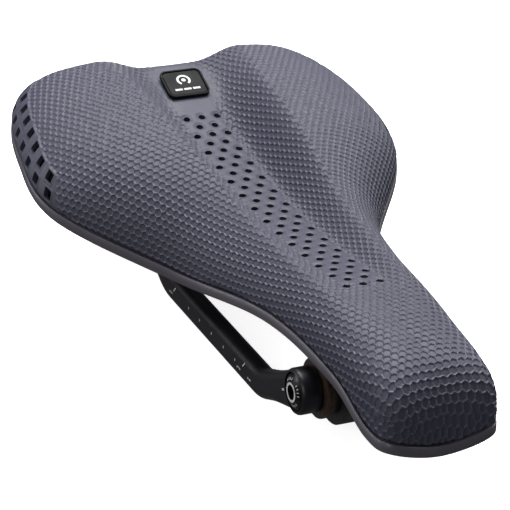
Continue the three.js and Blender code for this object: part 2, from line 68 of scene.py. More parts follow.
# -------- driving dimensions, as in the CAD
EDGE = np.array([  # cover's lower edge on the rider's right, tail to nose: x, y, z, its spine place and
    # the two exponents of the section's superellipse
    [-109.5, 0, 48.5, -99.5, 3.3, 1.7], [-112.5, -21, 48.5, -97, 3, 1.8],
    [-114, -41, 49.2, -92, 2.8, 3], [-109, -58, 48, -83, 2.95, 2.2],
    [-79, -66.5, 44.5, -63, 2.98, 1.77], [-48, -64.7, 36.8, -39, 2.77, 1.75],
    [-7.2, -38, 28.9, -5, 2.53, 1.79], [38.4, -25.1, 33.5, 33, 2.39, 1.88],
    [77.7, -21.1, 31.4, 67, 2.3, 3.4], [101, -19.9, 24.1, 87.5, 2.7, 4.6],
    [113, -17, 24, 93.5, 2.3, 2.8], [113.5, 0, 20.5, 98, 2, 2.8],
])
SPINE = (-99.5, 101)
CROWN = (66.3, 66.1, 62.7, 58.8, 55, 53.4, 51.8, 47.2, 43.6)
CHANNEL = (-109, 115)
CHANNEL_DEPTH = (3.6, 14.6, 15.6, 11.7, 7.3, 0, 0)
CHANNEL_HALF_WIDTH = (28.3, 24.2, 21.3, 19.4, 17.8, 16.2, 14.7)
CHANNEL_FLOOR = 0.35
SHELL_CROWN = (53, 45.5, 40, 37, 36.5, 37.8, 39, 38, 35)
COVER_THICK = 1.8
SHELL_BAND = 3.5
SEAM = 0.9
GAP = 0.3

# -------- the skin's details
COVER_ROUNDS = 900  # sections of the cover's right half from tail to nose, and points across each
COVER_ACROSS = 240
EDGE_ROLL = 0.5  # rounding of the cover's lower edge
CELL = 2.45  # embossed hexagons, centre to centre in a row across the saddle
CELL_ROW = 2.45  # from one row to the next, so that the hexagons are a little long
CELL_DEPTH = 0.42
RIDGE = 0.1  # width of the flat ridge between two cells, and of the slope beside it
RIDGE_SLOPE = 0.32
UNFOLD_GRID = (61, 27)  # net that lays the skin flat, and the steps in which it settles
UNFOLD_STEPS = 1500
UNFOLD_SHARE = 0.25
# the cells are shallow on the channel's floor and round the badge, and gone in a strip ahead of the badge
CALM = {"share": 0.08, "half": 5.6, "fade": 3, "front": 48, "front_fade": 16}
BADGE_CALM = {"share": 0.25, "radius": 10, "fade": 6, "long": 1.2}
PLAIN_STRIP = (-84, -78, 3)  # rear, front and fade
HOLE_RADIUS = 1.28
HOLE_ROW = 5.02
HOLE_STEP = 5.8
HOLE_ROWS = 27
FIRST_HOLE_X = -74.6
HOLE_DIMPLE = {"deep": 0.35, "wide": 1.1}
WINDOWS = 8
WINDOW_LONG = 3.75
WINDOW_TALL = 3.35
WINDOW_SLANT = 0.35
WINDOW_CORNER = 0.5
WINDOW_RIM = {"high": 0.22, "inner": 0.3, "flat": 0.35, "outer": 0.5, "reach": 5}
# each row of windows: its first and last span, and its heights over the edge there
WINDOW_ROWS = ((2.9, 4.78, 9.8, 8.1), (2.86, 4.88, 4.3, 3.2))
BADGE = {"x": -91.3, "z": 58.1, "tilt": 21.2, "long": 13.0, "wide": 15.0, "corner": 2.6, "bezel": 1.1}

# -------- what lies under the skin, and small details elsewhere
FOAM_SHRINK = 0.7  # the foam starts this much inside the CAD's pad
FOAM_SWELL = 0.6  # and swells by no more than this
FOAM_VOXEL = 2.6
SHELL_EXPONENTS = (2.2, 2.0)
SHELL_THICK = 2.6
SHELL_INSET = {"top": 4, "under": 5.6}  # from the cover's edge to where the shell's dome starts
# ribs on the shell's underside: one so far in from the rim, and a row across from rear to front
RIB = {"tall": 1.1, "rim": 7, "pitch": 12, "first": -70, "rear": -64, "front": 34, "inner": 10}
MARK_X = (-21.9, -12.4, -2, 8.2, 17.8)  # printed setback marks on the rails
BRACKET_SCREWS = ((50, 8.6), (50, -8.6), (78, 8), (78, -8))
DAMPER_GROOVE = 0.35

# -------- the studio
CAMERA = {"aim": (0.08, -11.6, 33.1), "distance": 800, "azimuth": -24.7, "elevation": 25.4, "roll": 2.3,
          "lens": 171.35}
FLOOR_GLOW = 0.85
WORLD_LIGHT = 0.12
LAMPS = (
    ("softbox_top", (-400, 120, 1100), (0, 0, 40), 800, 800, 22),
    ("softbox_far", (-150, 1000, 620), (0, 0, 40), 900, 600, 7),
    ("softbox_fill", (700, -900, 500), (0, 0, 30), 600, 600, 3.5),
    ("strip_left", (-500, -700, 350), (-60, -40, 40), 120, 700, 2.5),
)


# -------- the saddle's surface
def cubic(a, b, c, d, w):
    return 0.5 * (2 * b + (c - a) * w + (2 * a - 5 * b + 4 * c - d) * w**2 + (3 * b - a - 3 * c + d) * w**3)


def station(values, reach, x):
    """Smooth value at x from evenly spaced stations."""
    v = np.array(values, float)
    v = np.concatenate([[2 * v[0] - v[1]], v, [2 * v[-1] - v[-2]]])
    last = len(values) - 1
    u = np.clip((np.asarray(x, float) - reach[0]) / (reach[1] - reach[0]) * last, 0, last - 1e-9)
    k = np.floor(u).astype(int)
    return cubic(v[k], v[k + 1], v[k + 2], v[k + 3], u - k)


def edge_at(t):
    """x, y, z, spine place and exponents of the cover's edge at spans t."""
    t = np.asarray(t, float)
    last = len(EDGE) - 1
    mirror = np.array([1, -1, 1, 1, 1, 1])
    rows = np.vstack([EDGE[1] * mirror, EDGE, EDGE[-2] * mirror])
    k = np.minimum(np.floor(t).astype(int), last - 1)
    w = (t - k)[..., None]
    e = cubic(rows[k], rows[k + 1], rows[k + 2], rows[k + 3], w)
    e[..., 3] = np.clip(e[..., 3], *SPINE)
    return e


def smooth(t):
    t = np.clip(t, 0, 1)
    return t * t * (3 - 2 * t)


def rising(value, start, wide):
    """0 up to start, then a smooth rise to 1 over the given width."""
    return smooth((value - start) / wide)


def channel_cut(x, y):
    q = np.abs(y) / station(CHANNEL_HALF_WIDTH, CHANNEL, x)
    return station(CHANNEL_DEPTH, CHANNEL, x) * (1 - smooth((q - CHANNEL_FLOOR) / (1 - CHANNEL_FLOOR)))


def layer_point(t, u, inset=0.0, lift=0.0, drop=0.0, shell=False):
    """Points of a layer of the saddle on the rider's right: u is 0 on the spine and 1 at the edge."""
    e = edge_at(t)
    u = np.asarray(u, float)
    x0, y0, z0, s, a, b = (e[..., k] for k in range(6))
    share = 1 - inset / np.hypot(x0 - s, y0)
    x = s + (x0 - s) * u * share
    y = y0 * u * share
    if shell:
        a, b = SHELL_EXPONENTS
    crown = station(SHELL_CROWN if shell else CROWN, SPINE, s) - drop
    rise = np.maximum(1 - u**a, 0) ** (1 / b)
    cut = 0 if shell else channel_cut(x, y) * rise
    z = z0 + lift + (crown - z0 - lift) * rise - cut
    return np.stack([x, y, z], -1)


def beside_edge(t, d, lift):
    """Points beside the cover's edge, d inwards and up by lift."""
    e = edge_at(t)
    share = 1 - d / np.hypot(e[..., 0] - e[..., 3], e[..., 1])
    x = e[..., 3] + (e[..., 0] - e[..., 3]) * share
    return np.stack([x, e[..., 1] * share, e[..., 2] + lift], -1)


def gaps(points, axis=0):
    """Distances between neighbours along an axis of an array of points."""
    return np.linalg.norm(np.diff(points, axis=axis), axis=-1)


def lengths(steps):
    """Length so far at each station of a line, from the steps between them."""
    return np.concatenate([[0], np.cumsum(steps)])


def evenly(values, steps, count):
    """Values at even lengths along a line, from those at its stations and the steps between them."""
    length = lengths(steps)
    return np.interp(np.linspace(0, length[-1], count), length, values)


def even_spans(count):
    """Spans from tail to nose, evenly spaced along the mean of the edge and the spine."""
    t = np.linspace(0, len(EDGE) - 1, 4001)
    e = edge_at(t)
    return evenly(t, gaps(e[:, :3]) + np.abs(np.diff(e[:, 3])), count)


def spans_by_edge(first, last, count):
    """Spans between two, evenly spaced along the edge."""
    t = np.linspace(first, last, 400)
    return evenly(t, gaps(edge_at(t)[:, :3]), count)


def even_section(t, count):
    """u values from spine to edge for each span, evenly spaced along the section."""
    fine = 1 - np.linspace(1, 0, 600) ** 2
    steps = gaps(layer_point(t[:, None], fine[None, :]), 1)
    return np.stack([evenly(fine, row, count) for row in steps])


def mirrored(points):
    """Both halves as one closed round of sections, from a half's sections from tail to nose."""
    left = points[-2:0:-1] * np.array([1, -1, 1])
    return np.concatenate([points, left])


# -------- mesh helpers
def linked(name, data):
    """A new object in the scene."""
    thing = bpy.data.objects.new(name, data)
    bpy.context.scene.collection.objects.link(thing)
    return thing


def raw_mesh(name, verts, faces):
    mesh = bpy.data.meshes.new(name)
    mesh.from_pydata((np.asarray(verts, float) * MM).tolist(), [], faces)
    return mesh


def make_piece(name, verts, faces, smooth_angle=35):
    piece = linked(name, raw_mesh(name, verts, faces))
    clean(piece)
    shade(piece, smooth_angle)
    return piece


def clean(piece):
    """Merged corners, no empty faces, and faces that point out."""
    near, flat = 2e-6, 1e-7
    bm = bmesh.new()
    bm.from_mesh(piece.data)
    bmesh.ops.remove_doubles(bm, verts=bm.verts, dist=near)
    bmesh.ops.dissolve_degenerate(bm, edges=bm.edges, dist=flat)
    bmesh.ops.recalc_face_normals(bm, faces=bm.faces)
    if bm.calc_volume(signed=True) < 0:
        bmesh.ops.reverse_faces(bm, faces=bm.faces)
    bm.to_mesh(piece.data)
    bm.free()


def shade(piece, angle):
    piece.data.shade_smooth()
    piece.data.set_sharp_from_angle(angle=math.radians(angle))


def grid_faces(rows, across, wrap_rows=False, wrap_across=False):
    r = np.arange(rows if wrap_rows else rows - 1)[:, None]
    c = np.arange(across if wrap_across else across - 1)[None, :]
    r2, c2 = (r + 1) % rows, (c + 1) % across
    quads = np.stack([r * across + c, r * across + c2, r2 * across + c2, r2 * across + c], -1)
    return quads.reshape(-1, 4).tolist()


def closed_sweep(sections):
    """Verts and faces of a tube through closed sections, with flat ends."""
    rows, across = sections.shape[:2]
    faces = grid_faces(rows, across, wrap_across=True)
    faces.append(list(range(across))[::-1])
    faces.append([(rows - 1) * across + k for k in range(across)])
    return sections.reshape(-1, 3), faces


def circle(radius, count, start=0.0):
    """Corners of a circle or of a regular polygon."""
    angle = np.linspace(0, 2 * math.pi, count, endpoint=False) + start
    return np.column_stack([np.cos(angle), np.sin(angle)]) * radius


def rounded_rect(wide, tall, corner, steps):
    """Outline of a rounded rectangle, anticlockwise."""
    points = []
    for quarter, (sx, sy) in enumerate(((1, 1), (-1, 1), (-1, -1), (1, -1))):
        for k in range(steps + 1):
            a = math.pi / 2 * (quarter + k / steps)
            points.append([sx * (wide / 2 - corner) + corner * math.cos(a),
                           sy * (tall / 2 - corner) + corner * math.sin(a)])
    return np.array(points)


def upright(outline, z0, z1):
    """Verts and faces of a block that stands on an outline of (x, y)."""
    return closed_sweep(np.stack([np.column_stack([outline, np.full(len(outline), z)]) for z in (z0, z1)]))


def crosswise(outline, y0, y1):
    """Verts and faces of a block that runs across the saddle, from an outline of (x, z)."""
    x, z = outline.T
    return closed_sweep(np.stack([np.column_stack([x, np.full(len(x), y), z]) for y in (y0, y1)]))


def turned(profile, segments):
    """Verts and faces of a solid turned about the Y axis: profile of (radius, y), on the axis or closed."""
    radius, y = np.array(profile, float).T
    x, z = circle(1, segments).T[..., None] * radius
    rows = np.stack([x, np.tile(y, (segments, 1)), z], -1)
    return rows.reshape(-1, 3), grid_faces(segments, len(profile), wrap_rows=True)


def closed_skin(half, wrap_across=False):
    """Verts and faces of a closed skin, from its right half's sections from tail to nose."""
    rows = mirrored(half)
    faces = grid_faces(len(rows), rows.shape[1], wrap_rows=True, wrap_across=wrap_across)
    return rows.reshape(-1, 3), faces


def apply_modifiers(piece):
    graph = bpy.context.evaluated_depsgraph_get()
    mesh = bpy.data.meshes.new_from_object(piece.evaluated_get(graph))
    old = piece.data
    piece.modifiers.clear()
    piece.data = mesh
    bpy.data.meshes.remove(old)
    mesh.name = piece.name


def modified(piece, kind, **settings):
    """Adds one modifier and applies it."""
    modifier = piece.modifiers.new(kind.lower(), kind)
    for key, value in settings.items():
        setattr(modifier, key, value)
    apply_modifiers(piece)


def cut(piece, solid, operation="DIFFERENCE"):
    """Takes a solid's verts and faces away from a piece, or joins them to it."""
    tool = make_piece("tool", *solid)
    modified(piece, "BOOLEAN", operation=operation, solver="MANIFOLD", object=tool)
    bpy.data.objects.remove(tool)


def merged(parts):
    """Several (verts, faces) as one."""
    verts, faces, start = [], [], 0
    for v, f in parts:
        verts.append(v)
        faces += [tuple(i + start for i in face) for face in f]
        start += len(v)
    return np.concatenate(verts), faces


def finish_piece(piece, material, body, slot, *nodes):
    piece.data.materials.clear()
    piece.data.materials.append(material)
    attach(piece, body)
    if nodes:
        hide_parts(*nodes)


# -------- materials
class Look:
    """One material's node tree, with short calls for adding nodes."""

    def __init__(self, name, **principled):
        self.material = bpy.data.materials.new(name)
        self.material.use_nodes = True
        self.tree = self.material.node_tree
        self.shader = self.tree.nodes["Principled BSDF"]
        self.place = self.add("TexCoord").outputs["Object"]
        for key, value in principled.items():
            self.set(key.replace("_", " "), value)

    def add(self, kind, inputs=None, **settings):
        node = self.tree.nodes.new("ShaderNode" + kind)
        for key, value in settings.items():
            setattr(node, key, value)
        for key, value in (inputs or {}).items():
            self.feed(node.inputs[key], value)
        return node

    def feed(self, socket, value):
        if isinstance(value, bpy.types.NodeSocket):
            self.tree.links.new(value, socket)
        else:
            socket.default_value = value

    def set(self, name, value):
        self.feed(self.shader.inputs[name], value)

    def noise(self, size, detail=3.0, stretch=(1, 1, 1)):
        """Noise whose grains are about size millimetres."""
        place = self.add("Mapping", {"Vector": self.place, "Scale": stretch}).outputs[0]
        inputs = {"Vector": place, "Scale": 1 / (size * MM), "Detail": detail}
        return self.add("TexNoise", inputs).outputs["Fac"]

    def spread(self, value, low, high, start=0.3, end=0.7):
        inputs = {"Value": value, "From Min": start, "From Max": end, "To Min": low, "To Max": high}
        return self.add("MapRange", inputs).outputs["Result"]

    def maths(self, operation, a, b=0.0):
        return self.add("Math", {0: a, 1: b}, operation=operation).outputs[0]

    def ramp(self, value, low, high):
        node = self.add("ValToRGB", {"Fac": value})
        node.color_ramp.elements[0].color = (*low, 1)
        node.color_ramp.elements[1].color = (*high, 1)
        return node.outputs["Color"]

    def bump(self, height, depth):
        """Fine relief of the given depth in millimetres."""
        inputs = {"Height": height, "Distance": depth * MM}
        if self.shader.inputs["Normal"].is_linked:
            inputs["Normal"] = self.shader.inputs["Normal"].links[0].from_socket
        self.set("Normal", self.add("Bump", inputs).outputs["Normal"])


def moulded(name, low, high, roughness, grain=0.35, depth=0.02, **principled):
    """Moulded plastic or painted metal: mottled colour, uneven gloss and a fine grain."""
    look = Look(name, **principled)
    look.set("Base Color", look.ramp(look.spread(look.noise(14), 0, 1), low, high))
    look.set("Roughness", look.spread(look.noise(6, 4), roughness - 0.06, roughness + 0.06))
    look.bump(look.noise(grain, 2), depth)
    return look.material


def cover_material():
    look = Look("cover_skin", Specular_IOR_Level=0.5)
    ridge = look.add("Attribute", attribute_name="relief").outputs["Fac"]
    tone = look.spread(look.noise(22), -0.12, 0.12)
    # colour lighter along the cells' ridges: a painted highlight on the rims; the noise tone is random
    look.set("Base Color", look.ramp(look.maths("ADD", ridge, tone), COVER_FLOOR, COVER_RIDGE_PAINTED_HIGHLIGHT))
    rough = look.spread(ridge, 0.56, 0.46, 0, 1)
    look.set("Roughness", look.maths("ADD", rough, look.spread(look.noise(5), -0.03, 0.03)))
    look.bump(look.noise(0.22, 2), 0.02)
    look.bump(look.noise(0.9, 3), 0.03)
    return look.material


def woven_material():
    """Black knitted mesh: two crossing rows of threads."""
    look = Look("mesh_black", Roughness=0.85)
    pitch = 0.8 * MM
    axes = look.add("SeparateXYZ", {"Vector": look.place}).outputs
    waves = []
    for lean in (1, -1):
        along = look.maths("ADD", axes["X"], look.maths("MULTIPLY", axes["Y"], lean))
        along = look.maths("ADD", along, look.maths("MULTIPLY", axes["Z"], 0.5))
        waves.append(look.maths("SINE", look.maths("MULTIPLY", along, 2 * math.pi / pitch)))
    thread = look.spread(look.maths("MULTIPLY", *waves), 0, 1, -1, 1)
    look.set("Base Color", look.ramp(thread, (0.002, 0.002, 0.002), (0.016, 0.016, 0.018)))
    look.bump(thread, 0.2)
    return look.material


def steel_material(name, low, high, roughness):
    """Turned steel with a dark finish and faint rings round the bolt's axis."""
    look = Look(name, Metallic=1.0)
    look.set("Base Color", look.ramp(look.spread(look.noise(3), 0, 1), low, high))
    look.set("Roughness", look.spread(look.noise(1.2, 4, (1, 6, 1)), roughness - 0.08, roughness + 0.08))
    look.bump(look.noise(0.3, 2, (0.2, 3, 0.2)), 0.008)
    return look.material


def rubber_material():
    look = Look("elastomer_brown", Subsurface_Weight=0.25, Subsurface_Radius=(0.004, 0.0015, 0.0006))
    brown = look.ramp(look.spread(look.noise(2.5), 0, 1), (0.02, 0.012, 0.008), (0.05, 0.028, 0.017))
    look.set("Base Color", brown)
    look.set("Roughness", look.spread(look.noise(1.5), 0.32, 0.5))
    look.bump(look.noise(0.25), 0.012)
    return look.material


def foam_material():
    look = Look("foam_cells", Roughness=0.95)
    cells = look.add("TexVoronoi", {"Vector": look.place, "Scale": 1 / (0.7 * MM)}).outputs["Distance"]
    look.set("Base Color", look.ramp(cells, (0.02, 0.02, 0.022), (0.085, 0.085, 0.09)))
    look.bump(cells, 0.25)
    return look.material


# the floor colour is the cover's own; the ridge colour is a painted highlight laid along the cells' ridges
COVER_FLOOR = (0.047, 0.047, 0.077)
COVER_RIDGE_PAINTED_HIGHLIGHT = (0.059, 0.059, 0.095)
COVER = cover_material()
MESH = woven_material()
FOAM = foam_material()
BADGE_RIM = moulded("badge_rim", (0.005, 0.005, 0.006), (0.009, 0.009, 0.01), 0.65, Specular_IOR_Level=0.15)
TRIM = moulded("trim_black", (0.006, 0.006, 0.007), (0.012, 0.012, 0.014), 0.5)
SHELL = moulded("shell_satin", (0.088, 0.082, 0.102), (0.108, 0.101, 0.123), 0.42, 0.5, 0.012)
BADGE_FACE = moulded("badge_face", (0.006, 0.006, 0.007), (0.011, 0.011, 0.012), 0.6, 0.3, 0.01,
                     Specular_IOR_Level=0.15)
RAIL = moulded("rail_black", (0.008, 0.007, 0.011), (0.015, 0.014, 0.02), 0.38, 0.4, 0.012, Metallic=0.35)
PAINT = moulded("white_print", (0.62, 0.62, 0.62), (0.75, 0.75, 0.75), 0.6)
BOLT = steel_material("bolt_black", (0.02, 0.02, 0.022), (0.05, 0.05, 0.055), 0.34)
STEEL = steel_material("steel_dark", (0.12, 0.12, 0.13), (0.24, 0.24, 0.25), 0.32)
RUBBER = rubber_material()


# -------- the cover
def unfolded(t, across):
    """The right half's skin laid flat, lengths kept as well as they can be: along and across at each point.

    A coarse net of the surface starts as straight rays from the spine and settles as springs do.
    """
    rows, columns = UNFOLD_GRID
    net_t = even_spans(rows)
    net = layer_point(net_t[:, None], even_section(net_t, columns))
    spine = lengths(gaps(net[:, 0]))
    spine -= np.interp(0, net[:, 0, 0], spine)
    ray = net[:, -1, :2] - net[:, 0, :2]
    ray /= np.linalg.norm(ray, axis=1, keepdims=True)
    reach = np.stack([lengths(row) for row in gaps(net, 1)])
    flat = np.stack([spine[:, None] + reach * ray[:, :1], reach * np.abs(ray[:, 1:])], -1)
    every, later, sooner = slice(None), slice(1, None), slice(None, -1)
    ends = (((later, every), (sooner, every)), ((every, later), (every, sooner)),
            ((later, later), (sooner, sooner)), ((later, sooner), (sooner, later)))
    springs = [(a, b, np.linalg.norm(net[a] - net[b], axis=-1)) for a, b in ends]
    for _ in range(UNFOLD_STEPS):
        pull = np.zeros_like(flat)
        for a, b, rest in springs:
            gap = flat[a] - flat[b]
            now = np.maximum(np.linalg.norm(gap, axis=-1), 1e-6)
            fix = gap * (0.5 * (rest - now) / now)[..., None]
            pull[a] += fix
            pull[b] -= fix
        flat += pull * UNFOLD_SHARE
        flat[:, 0, 0] = spine
        flat[:, 0, 1] = flat[0, :, 1] = flat[-1, :, 1] = 0
    row = np.interp(t, net_t, np.arange(rows))
    column = np.linspace(0, columns - 1, across)
    r, c = np.minimum(row.astype(int), rows - 2), np.minimum(column.astype(int), columns - 2)
    v, w = (row - r)[:, None, None], (column - c)[None, :, None]
    r, c = r[:, None], c[None, :]
    low = flat[r, c] * (1 - w) + flat[r, c + 1] * w
    high = flat[r + 1, c] * (1 - w) + flat[r + 1, c + 1] * w
    return low * (1 - v) + high * v


def cell_ridge(flat):
    """1 on the ridge between two cells and 0 on a cell's floor, from places on the skin laid flat."""
    nearest = np.full(flat.shape[:-1], np.inf)
    slant = math.cos(math.pi / 6)
    for parity in (0, 1):
        along = flat[..., 0] / CELL_ROW - parity
        side = flat[..., 1] / CELL - parity / 2
        da = np.abs(along - 2 * np.round(along / 2)) * CELL * slant
        ds = np.abs(side - np.round(side)) * CELL
        nearest = np.minimum(nearest, np.maximum(ds, da * slant + ds / 2))
    return 1 - smooth((CELL / 2 - nearest - RIDGE / 2) / RIDGE_SLOPE)


def hole_places():
    for k in range(HOLE_ROWS):
        x = FIRST_HOLE_X + k * HOLE_ROW
        for y in ((-1, 0, 1), (-0.5, 0.5))[k % 2]:
            yield x, y * HOLE_STEP


def surface_frame(t, above):
    """A point of the cover on the right, so far up from the edge, with its two tangents and its normal."""
    def at(span, height):
        fine = 1 - np.linspace(0, 1, 2000) ** 2
        p = layer_point(np.full(len(fine), span), fine)
        length = lengths(gaps(p))
        return np.array([np.interp(height, length, column) for column in p.T])

    centre = at(t, above)
    along = at(t + 0.01, above) - at(t - 0.01, above)
    along /= np.linalg.norm(along)
    down = at(t, above - 0.4) - at(t, above + 0.4)
    down -= along * down.dot(along)
    down /= np.linalg.norm(down)
    normal = np.cross(down, along)
    if normal.dot([0, -1, 0.3]) < 0:
        normal = -normal
    return centre, along, down, normal


def window_frames():
    for first, last, rear, front in WINDOW_ROWS:
        for t in spans_by_edge(first, last, WINDOWS):
            yield surface_frame(float(t), float(np.interp(t, (first, last), (rear, front))))


def window_relief(points):
    """Height of the thin raised border round each window."""
    height = np.zeros(len(points))
    for centre, along, down, _ in WINDOW_FRAMES:
        away = points - centre
        b = away @ down
        a = away @ along - WINDOW_SLANT * b
        gap = np.maximum(np.abs(a) - WINDOW_LONG / 2, np.abs(b) - WINDOW_TALL / 2)
        near = np.linalg.norm(away, axis=1) < WINDOW_RIM["reach"]
        rim = rising(gap, -WINDOW_RIM["inner"], WINDOW_RIM["inner"])
        rim *= 1 - rising(gap, WINDOW_RIM["flat"], WINDOW_RIM["outer"])
        height = np.where(near, np.maximum(height, rim), height)
    return height * WINDOW_RIM["high"]


def hole_relief(x, y):
    """Soft dimple round each perforation."""
    distance = np.full(np.shape(x), np.inf)
    for hx, hy in hole_places():
        distance = np.minimum(distance, np.hypot(x - hx, y - hy))
    return -HOLE_DIMPLE["deep"] * (1 - rising(distance, HOLE_RADIUS, HOLE_DIMPLE["wide"]))


def texture_strength(x, y, t, above):
    """How deep the cells are: calm in the channel's floor, round the windows and by the badge."""
    side = rising(np.abs(y), CALM["half"], CALM["fade"])
    nose = rising(x, CALM["front"], CALM["front_fade"])
    channel = CALM["share"] + (1 - CALM["share"]) * np.maximum(side, nose)
    away = np.hypot((x - BADGE["x"]) / BADGE_CALM["long"], y)
    round_badge = rising(away, BADGE_CALM["radius"], BADGE_CALM["fade"])
    channel = np.minimum(channel, BADGE_CALM["share"] + (1 - BADGE_CALM["share"]) * round_badge)
    rear, front, fade = PLAIN_STRIP
    strip = rising(x, rear, fade) * (1 - rising(x, front, fade)) * (1 - side)
    return channel * (1 - strip) * (1 - window_panel(t, above))


def window_panel(t, above):
    """1 on the plain panel that holds the windows, from each point's span and its height over the edge."""
    first, last, rear, front = WINDOW_ROWS[0]
    start = first - 0.3
    end = last + 0.1 + 0.02 * (8 - above)
    top = np.interp(t, (first, last), (rear, front)) + 2
    return rising(t, start, 0.1) * (1 - rising(t, end, 0.05)) * (1 - rising(above, top, 0.6))


def outer_skin(rounds, across):
    """The right half's outer surface with all its relief, and the share of ridge at each point."""
    t = even_spans(rounds)
    u = even_section(t, across)
    p = layer_point(t[:, None], u)
    ring = np.gradient(p, axis=0)
    section = np.gradient(p, axis=1)
    normal = np.cross(ring, section)
    normal[:, 0, 1] = 0
    normal[[0, -1], :, 1] = 0
    size = np.linalg.norm(normal, axis=2, keepdims=True)
    tiny = 1e-7
    normal = np.where(size > tiny, normal / np.maximum(size, tiny), [0, 0, 1])
    if normal[rounds // 2, 0, 2] < 0:
        normal = np.where(size > tiny, -normal, normal)
    above = np.stack([lengths(row[::-1])[::-1] for row in gaps(p, 1)])
    x, y = p[..., 0], p[..., 1]
    ridge = cell_ridge(unfolded(t, across))
    strength = texture_strength(x, y, t[:, None], above)
    lift = -CELL_DEPTH * strength * (1 - ridge)
    central = (np.abs(y) < 9) & (x > FIRST_HOLE_X - 4) & (x < 60)
    lift[central] += hole_relief(x[central], y[central])
    flank = above < 12
    lift[flank] += window_relief(p[flank])
    low = np.clip(EDGE_ROLL - above, 0, EDGE_ROLL)
    lift -= EDGE_ROLL - np.sqrt(EDGE_ROLL**2 - low**2)
    return t, p + normal * lift[..., None], strength * ridge


def cover_tools():
    """Everything cut out of the cover, as one mesh of separate solids."""
    low, high = 30, 75
    parts = [upright(circle(HOLE_RADIUS, 24) + place, low, high) for place in hole_places()]
    outline = rounded_rect(WINDOW_LONG, WINDOW_TALL, WINDOW_CORNER, 4)
    outline[:, 0] += WINDOW_SLANT * outline[:, 1]
    below, over = 3.4, 2
    for centre, along, down, normal in WINDOW_FRAMES:
        flat = centre + outline[:, :1] * along + outline[:, 1:] * down
        prism = np.stack([flat - below * normal, flat + over * normal])
        for side in (1, -1):
            parts.append(closed_sweep(prism * [1, side, 1]))
    room = 1.2
    parts.append(badge_block(BADGE["long"] + room, BADGE["wide"] + room, BADGE["corner"], -0.8, 4))
    return merged(parts)


def badge_block(long, wide, corner, z0, z1):
    """Block that stands square on the channel's floor at the badge."""
    verts, faces = upright(rounded_rect(long, wide, corner, 10), z0, z1)
    return on_badge(verts), faces


def on_badge(points):
    """Points of the badge's own plane, x towards the nose and z out of the skin, in the saddle's frame."""
    tilt = math.radians(BADGE["tilt"])
    x, y, z = np.asarray(points, float).T
    return np.column_stack([x * math.cos(tilt) + z * math.sin(tilt) + BADGE["x"], y,
                            z * math.cos(tilt) - x * math.sin(tilt) + BADGE["z"]])


def cover_skin():
    """The cover, with the share of ridge at each point as the attribute relief; the material paints the
    ridges lighter with it as a painted highlight.
    """
    t, outer, ridge = outer_skin(COVER_ROUNDS, COVER_ACROSS)
    steps = np.linspace(1, 0, 40) ** 0.8
    inner = layer_point(t[:, None], steps[None, :], inset=COVER_THICK, drop=COVER_THICK)
    relief = np.concatenate([ridge, np.zeros(inner.shape[:2])], axis=1)
    relief = np.concatenate([relief, relief[-2:0:-1]]).ravel().astype(np.float32)
    mesh = raw_mesh("cover_skin", *closed_skin(np.concatenate([outer, inner], axis=1)))
    mesh.attributes.new("relief", "FLOAT", "POINT").data.foreach_set("value", relief)
    piece = linked("cover_skin", mesh)
    clean(piece)
    cut(piece, cover_tools())
    shade(piece, 58)
    finish_piece(piece, COVER, "top", "cover", "cover")


# -------- foam, backings and seam
def corners_of(piece, measure="co"):
    return np.array([getattr(v, measure) for v in piece.data.vertices])


def move_corners(piece, places):
    piece.data.vertices.foreach_set("co", places.ravel())
    piece.data.update()


def foam_core():
    """The pad under the cover: a slightly smaller copy of the CAD's, blown up tight as cloth."""
    piece = linked("foam_core", frame["nodes"]["foam_pad"].data.copy())
    clean(piece)
    move_corners(piece, corners_of(piece) - corners_of(piece, "normal") * FOAM_SHRINK * MM)
    modified(piece, "REMESH", mode="VOXEL", voxel_size=FOAM_VOXEL * MM)
    inflate(piece, FOAM_SWELL * MM)
    modified(piece, "SUBSURF", levels=1)
    shade(piece, 60)
    finish_piece(piece, FOAM, "top", "foam", "foam_pad")


def inflate(piece, cap):
    """Cloth under pressure for 20 frames; no corner moves further than cap from where it started."""
    start = corners_of(piece)
    cloth = piece.modifiers.new("cloth", "CLOTH")
    cloth.settings.use_pressure = True
    cloth.settings.uniform_pressure_force = 4
    cloth.settings.effector_weights.gravity = 0
    for number in range(1, 21):
        bpy.context.scene.frame_set(number)
    apply_modifiers(piece)
    bpy.context.scene.frame_set(1)
    moved = corners_of(piece) - start
    far = np.linalg.norm(moved, axis=1, keepdims=True)
    move_corners(piece, start + moved * np.minimum(1, cap / np.maximum(far, 1e-9)))


def soften(piece, width, segments=3, angle=30):
    """Rounds a piece's sharp edges."""
    modified(piece, "BEVEL", width=width * MM, segments=segments, limit_method="ANGLE",
             angle_limit=math.radians(angle), harden_normals=True)


def liners():
    """Backings seen through the perforations and windows: the CAD pieces, given the woven material."""
    for name in ("channel_liner", "vent_liner_left", "vent_liner_right"):
        materials = frame["nodes"][name].data.materials
        materials.clear()
        materials.append(MESH)


def seam_ring():
    """Dark ring that clamps the cover's edge, with rounded lips."""
    t = even_spans(300)
    high, low, out, back = -0.05, GAP - SEAM, 1.3, 3.6
    lips = [(back, high), (out + 0.15, high), (out, high - 0.1),
            (out, low + 0.1), (out + 0.15, low), (back, low)]
    half = np.stack([beside_edge(t, d, lift) for d, lift in lips], axis=1)
    ring = make_piece("seam_ring", *closed_skin(half, True))
    finish_piece(ring, TRIM, "top", "trim", "cover_retainer")


